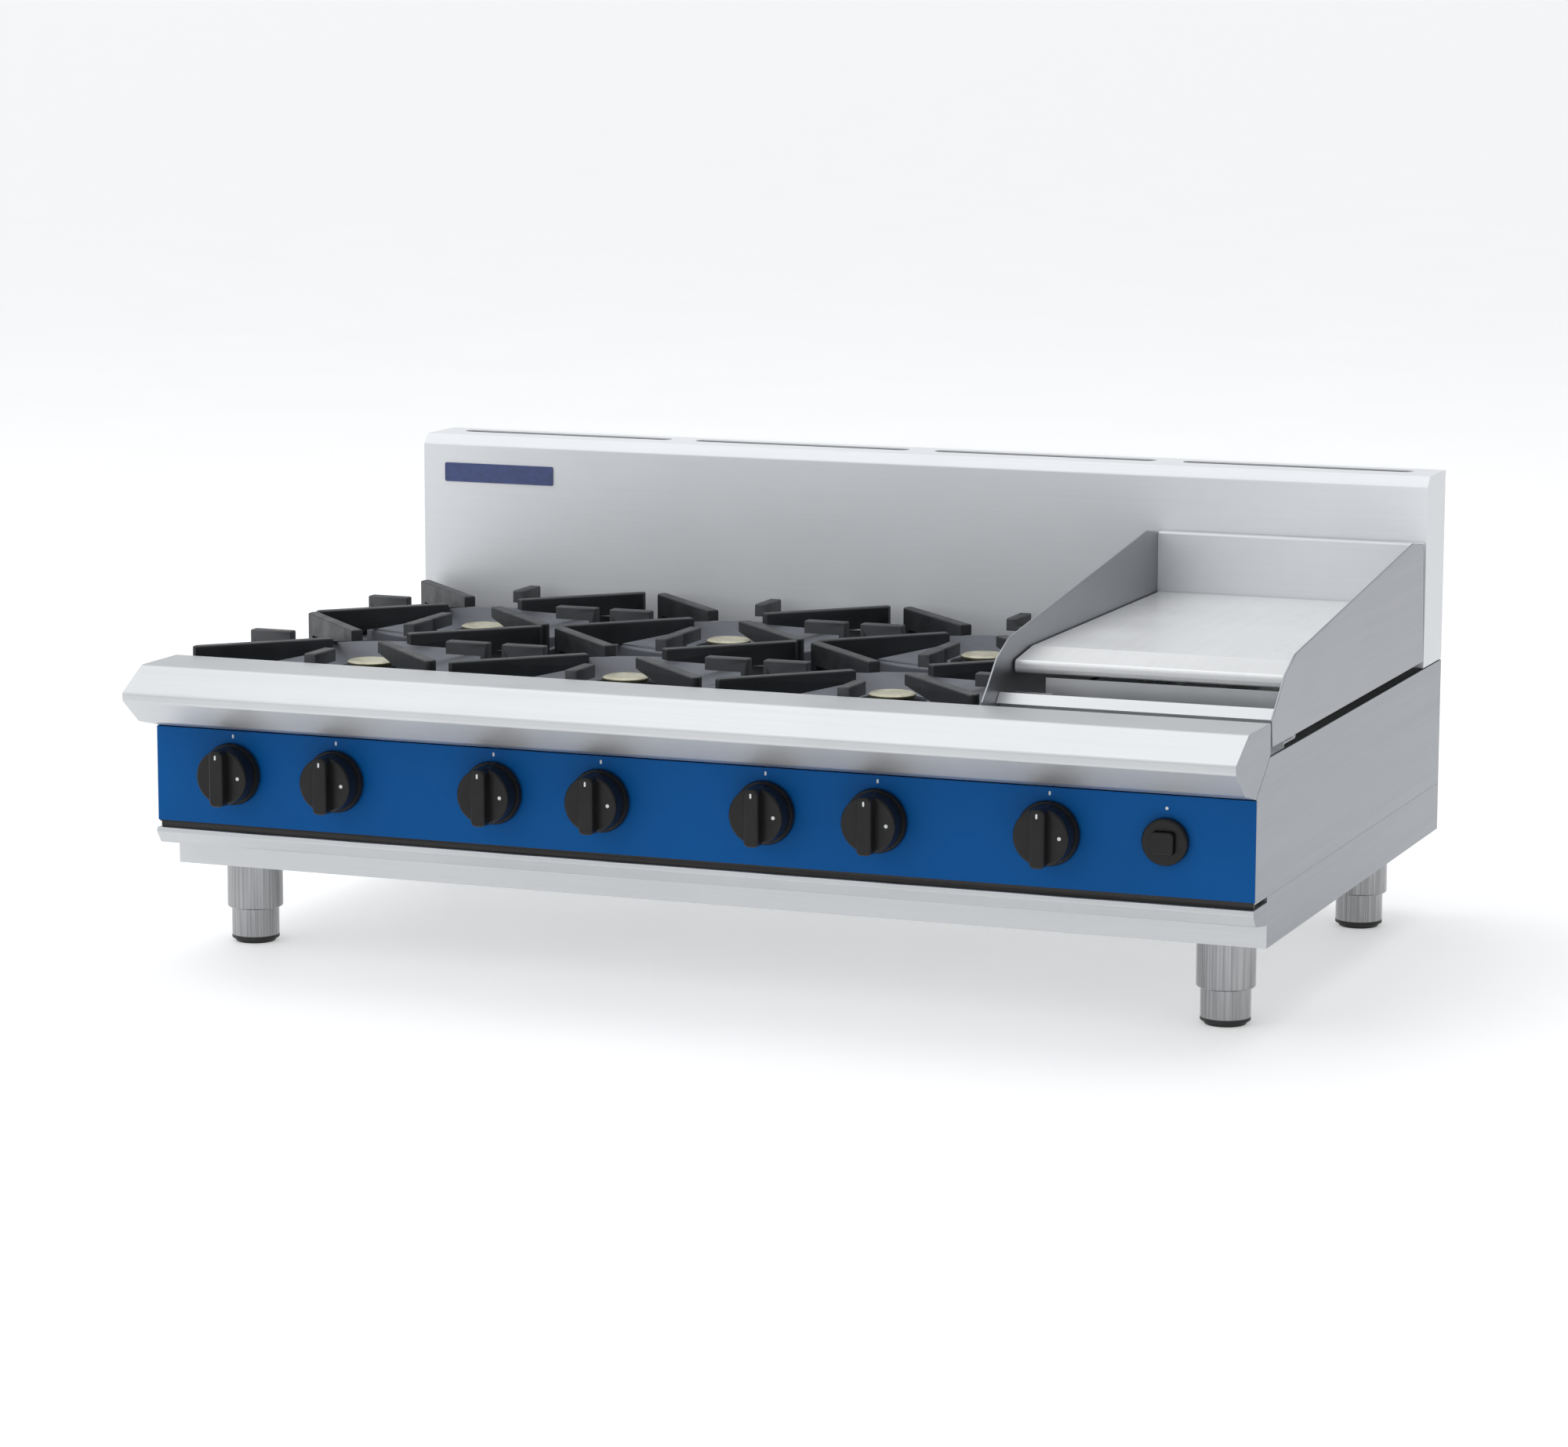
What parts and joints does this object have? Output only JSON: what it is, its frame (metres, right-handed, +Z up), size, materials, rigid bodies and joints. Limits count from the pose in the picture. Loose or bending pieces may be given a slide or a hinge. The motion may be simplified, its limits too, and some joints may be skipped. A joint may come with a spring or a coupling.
{
  "type": "commercial gas range",
  "caption": "Bench-top commercial gas range with open burners, lift-off pan supports, a side griddle, a splashback flue and adjustable feet.",
  "frame": {"origin": "centre of the footprint at the underside of the feet", "axes": "+X to the cook's right along the front, +Y to the back, +Z up"},
  "size_m": [1.2, 0.812, 0.492],
  "materials": {
    "stainless": "satin brushed stainless sheet",
    "deck_steel": "satin stainless hob sheet",
    "blue_panel": "satin blue powder coat",
    "badge_blue": "satin blue enamel",
    "leg_steel": "brushed stainless tube",
    "burner_iron": "matt cast iron",
    "burner_brass": "dull brass",
    "pipe_steel": "zinc coated",
    "brass": "machined",
    "black_plastic": "satin moulded",
    "plate_steel": "ground steel plate",
    "cast_iron": "black vitreous enamel over cast iron",
    "grey_enamel": "grey vitreous enamel"
  },
  "bodies": {
    "chassis": {"base_tray": "stainless", "front_ledge": "stainless", "side_panel_left": "stainless", "side_panel_right": "stainless", "rear_panel": "stainless", "control_panel": "blue_panel", "front_rail": "stainless", "hob_deck": "deck_steel", "splashback": "stainless", "badge_plate": "badge_blue", "leg_sleeves": "leg_steel", "burner_heads": "burner_iron", "mixing_tubes": "burner_iron", "gas_manifold": "pipe_steel", "gas_valves": "brass", "igniter_body": "black_plastic", "griddle_plate": "plate_steel", "griddle_guard_left": "stainless", "griddle_guard_right": "stainless", "griddle_back_guard": "stainless", "grease_trough": "stainless", "griddle_burner": "pipe_steel"},
    "bowl_front_left": {"spill_bowl_front_left": "grey_enamel"},
    "trivet_front_left": {"trivet_front_left": "cast_iron"},
    "cap_front_left": {"burner_cap_front_left": "burner_brass"},
    "bowl_front_middle": {"spill_bowl_front_middle": "grey_enamel"},
    "trivet_front_middle": {"trivet_front_middle": "cast_iron"},
    "cap_front_middle": {"burner_cap_front_middle": "burner_brass"},
    "bowl_front_right": {"spill_bowl_front_right": "grey_enamel"},
    "trivet_front_right": {"trivet_front_right": "cast_iron"},
    "cap_front_right": {"burner_cap_front_right": "burner_brass"},
    "bowl_rear_left": {"spill_bowl_rear_left": "grey_enamel"},
    "trivet_rear_left": {"trivet_rear_left": "cast_iron"},
    "cap_rear_left": {"burner_cap_rear_left": "burner_brass"},
    "bowl_rear_middle": {"spill_bowl_rear_middle": "grey_enamel"},
    "trivet_rear_middle": {"trivet_rear_middle": "cast_iron"},
    "cap_rear_middle": {"burner_cap_rear_middle": "burner_brass"},
    "bowl_rear_right": {"spill_bowl_rear_right": "grey_enamel"},
    "trivet_rear_right": {"trivet_rear_right": "cast_iron"},
    "cap_rear_right": {"burner_cap_rear_right": "burner_brass"},
    "spindle_1": {"valve_spindle_1": "brass"},
    "knob_1": {"control_knob_1": "black_plastic"},
    "spindle_2": {"valve_spindle_2": "brass"},
    "knob_2": {"control_knob_2": "black_plastic"},
    "spindle_3": {"valve_spindle_3": "brass"},
    "knob_3": {"control_knob_3": "black_plastic"},
    "spindle_4": {"valve_spindle_4": "brass"},
    "knob_4": {"control_knob_4": "black_plastic"},
    "spindle_5": {"valve_spindle_5": "brass"},
    "knob_5": {"control_knob_5": "black_plastic"},
    "spindle_6": {"valve_spindle_6": "brass"},
    "knob_6": {"control_knob_6": "black_plastic"},
    "spindle_7": {"valve_spindle_7": "brass"},
    "knob_7": {"control_knob_7": "black_plastic"},
    "igniter_button": {"igniter_button": "black_plastic"},
    "grease_box": {"grease_box": "stainless"},
    "foot_front_left": {"adjustable_foot_front_left": "leg_steel"},
    "foot_front_right": {"adjustable_foot_front_right": "leg_steel"},
    "foot_rear_left": {"adjustable_foot_rear_left": "leg_steel"},
    "foot_rear_right": {"adjustable_foot_rear_right": "leg_steel"}
  },
  "joints": [
    {"name": "bowl_lift_front_left", "type": "slide", "parent": "chassis", "child": "bowl_front_left", "axis": [0, 0, 1], "range_m": [0, 0.06]},
    {"name": "trivet_lift_front_left", "type": "slide", "parent": "bowl_front_left", "child": "trivet_front_left", "axis": [0, 0, 1], "range_m": [0, 0.08]},
    {"name": "cap_lift_front_left", "type": "slide", "parent": "chassis", "child": "cap_front_left", "axis": [0, 0, 1], "range_m": [0, 0.04]},
    {"name": "bowl_lift_front_middle", "type": "slide", "parent": "chassis", "child": "bowl_front_middle", "axis": [0, 0, 1], "range_m": [0, 0.06]},
    {"name": "trivet_lift_front_middle", "type": "slide", "parent": "bowl_front_middle", "child": "trivet_front_middle", "axis": [0, 0, 1], "range_m": [0, 0.08]},
    {"name": "cap_lift_front_middle", "type": "slide", "parent": "chassis", "child": "cap_front_middle", "axis": [0, 0, 1], "range_m": [0, 0.04]},
    {"name": "bowl_lift_front_right", "type": "slide", "parent": "chassis", "child": "bowl_front_right", "axis": [0, 0, 1], "range_m": [0, 0.06]},
    {"name": "trivet_lift_front_right", "type": "slide", "parent": "bowl_front_right", "child": "trivet_front_right", "axis": [0, 0, 1], "range_m": [0, 0.08]},
    {"name": "cap_lift_front_right", "type": "slide", "parent": "chassis", "child": "cap_front_right", "axis": [0, 0, 1], "range_m": [0, 0.04]},
    {"name": "bowl_lift_rear_left", "type": "slide", "parent": "chassis", "child": "bowl_rear_left", "axis": [0, 0, 1], "range_m": [0, 0.06]},
    {"name": "trivet_lift_rear_left", "type": "slide", "parent": "bowl_rear_left", "child": "trivet_rear_left", "axis": [0, 0, 1], "range_m": [0, 0.08]},
    {"name": "cap_lift_rear_left", "type": "slide", "parent": "chassis", "child": "cap_rear_left", "axis": [0, 0, 1], "range_m": [0, 0.04]},
    {"name": "bowl_lift_rear_middle", "type": "slide", "parent": "chassis", "child": "bowl_rear_middle", "axis": [0, 0, 1], "range_m": [0, 0.06]},
    {"name": "trivet_lift_rear_middle", "type": "slide", "parent": "bowl_rear_middle", "child": "trivet_rear_middle", "axis": [0, 0, 1], "range_m": [0, 0.08]},
    {"name": "cap_lift_rear_middle", "type": "slide", "parent": "chassis", "child": "cap_rear_middle", "axis": [0, 0, 1], "range_m": [0, 0.04]},
    {"name": "bowl_lift_rear_right", "type": "slide", "parent": "chassis", "child": "bowl_rear_right", "axis": [0, 0, 1], "range_m": [0, 0.06]},
    {"name": "trivet_lift_rear_right", "type": "slide", "parent": "bowl_rear_right", "child": "trivet_rear_right", "axis": [0, 0, 1], "range_m": [0, 0.08]},
    {"name": "cap_lift_rear_right", "type": "slide", "parent": "chassis", "child": "cap_rear_right", "axis": [0, 0, 1], "range_m": [0, 0.04]},
    {"name": "spindle_turn_1", "type": "hinge", "parent": "chassis", "child": "spindle_1", "pos_m": [-0.51, -0.333, 0.201], "axis": [0, -1, 0], "range_deg": [0, 180]},
    {"name": "knob_push_1", "type": "slide", "parent": "spindle_1", "child": "knob_1", "axis": [0, 1, 0], "range_m": [0, 0.003], "stiffness_N_per_m": 800, "springref_m": -0.004},
    {"name": "spindle_turn_2", "type": "hinge", "parent": "chassis", "child": "spindle_2", "pos_m": [-0.39, -0.333, 0.201], "axis": [0, -1, 0], "range_deg": [0, 180]},
    {"name": "knob_push_2", "type": "slide", "parent": "spindle_2", "child": "knob_2", "axis": [0, 1, 0], "range_m": [0, 0.003], "stiffness_N_per_m": 800, "springref_m": -0.004},
    {"name": "spindle_turn_3", "type": "hinge", "parent": "chassis", "child": "spindle_3", "pos_m": [-0.21, -0.333, 0.201], "axis": [0, -1, 0], "range_deg": [0, 180]},
    {"name": "knob_push_3", "type": "slide", "parent": "spindle_3", "child": "knob_3", "axis": [0, 1, 0], "range_m": [0, 0.003], "stiffness_N_per_m": 800, "springref_m": -0.004},
    {"name": "spindle_turn_4", "type": "hinge", "parent": "chassis", "child": "spindle_4", "pos_m": [-0.09, -0.333, 0.201], "axis": [0, -1, 0], "range_deg": [0, 180]},
    {"name": "knob_push_4", "type": "slide", "parent": "spindle_4", "child": "knob_4", "axis": [0, 1, 0], "range_m": [0, 0.003], "stiffness_N_per_m": 800, "springref_m": -0.004},
    {"name": "spindle_turn_5", "type": "hinge", "parent": "chassis", "child": "spindle_5", "pos_m": [0.09, -0.333, 0.201], "axis": [0, -1, 0], "range_deg": [0, 180]},
    {"name": "knob_push_5", "type": "slide", "parent": "spindle_5", "child": "knob_5", "axis": [0, 1, 0], "range_m": [0, 0.003], "stiffness_N_per_m": 800, "springref_m": -0.004},
    {"name": "spindle_turn_6", "type": "hinge", "parent": "chassis", "child": "spindle_6", "pos_m": [0.21, -0.333, 0.201], "axis": [0, -1, 0], "range_deg": [0, 180]},
    {"name": "knob_push_6", "type": "slide", "parent": "spindle_6", "child": "knob_6", "axis": [0, 1, 0], "range_m": [0, 0.003], "stiffness_N_per_m": 800, "springref_m": -0.004},
    {"name": "spindle_turn_7", "type": "hinge", "parent": "chassis", "child": "spindle_7", "pos_m": [0.39, -0.333, 0.201], "axis": [0, -1, 0], "range_deg": [0, 180]},
    {"name": "knob_push_7", "type": "slide", "parent": "spindle_7", "child": "knob_7", "axis": [0, 1, 0], "range_m": [0, 0.003], "stiffness_N_per_m": 800, "springref_m": -0.004},
    {"name": "igniter_push", "type": "slide", "parent": "chassis", "child": "igniter_button", "axis": [0, 1, 0], "range_m": [0, 0.004], "stiffness_N_per_m": 1500, "springref_m": -0.004},
    {"name": "grease_box_lift", "type": "slide", "parent": "chassis", "child": "grease_box", "axis": [0, 0, 1], "range_m": [0, 0.14]},
    {"name": "foot_screw_front_left", "type": "slide", "parent": "chassis", "child": "foot_front_left", "axis": [0, 0, 1], "range_m": [-0.025, 0.01]},
    {"name": "foot_screw_front_right", "type": "slide", "parent": "chassis", "child": "foot_front_right", "axis": [0, 0, 1], "range_m": [-0.025, 0.01]},
    {"name": "foot_screw_rear_left", "type": "slide", "parent": "chassis", "child": "foot_rear_left", "axis": [0, 0, 1], "range_m": [-0.025, 0.01]},
    {"name": "foot_screw_rear_right", "type": "slide", "parent": "chassis", "child": "foot_rear_right", "axis": [0, 0, 1], "range_m": [-0.025, 0.01]}
  ]
}
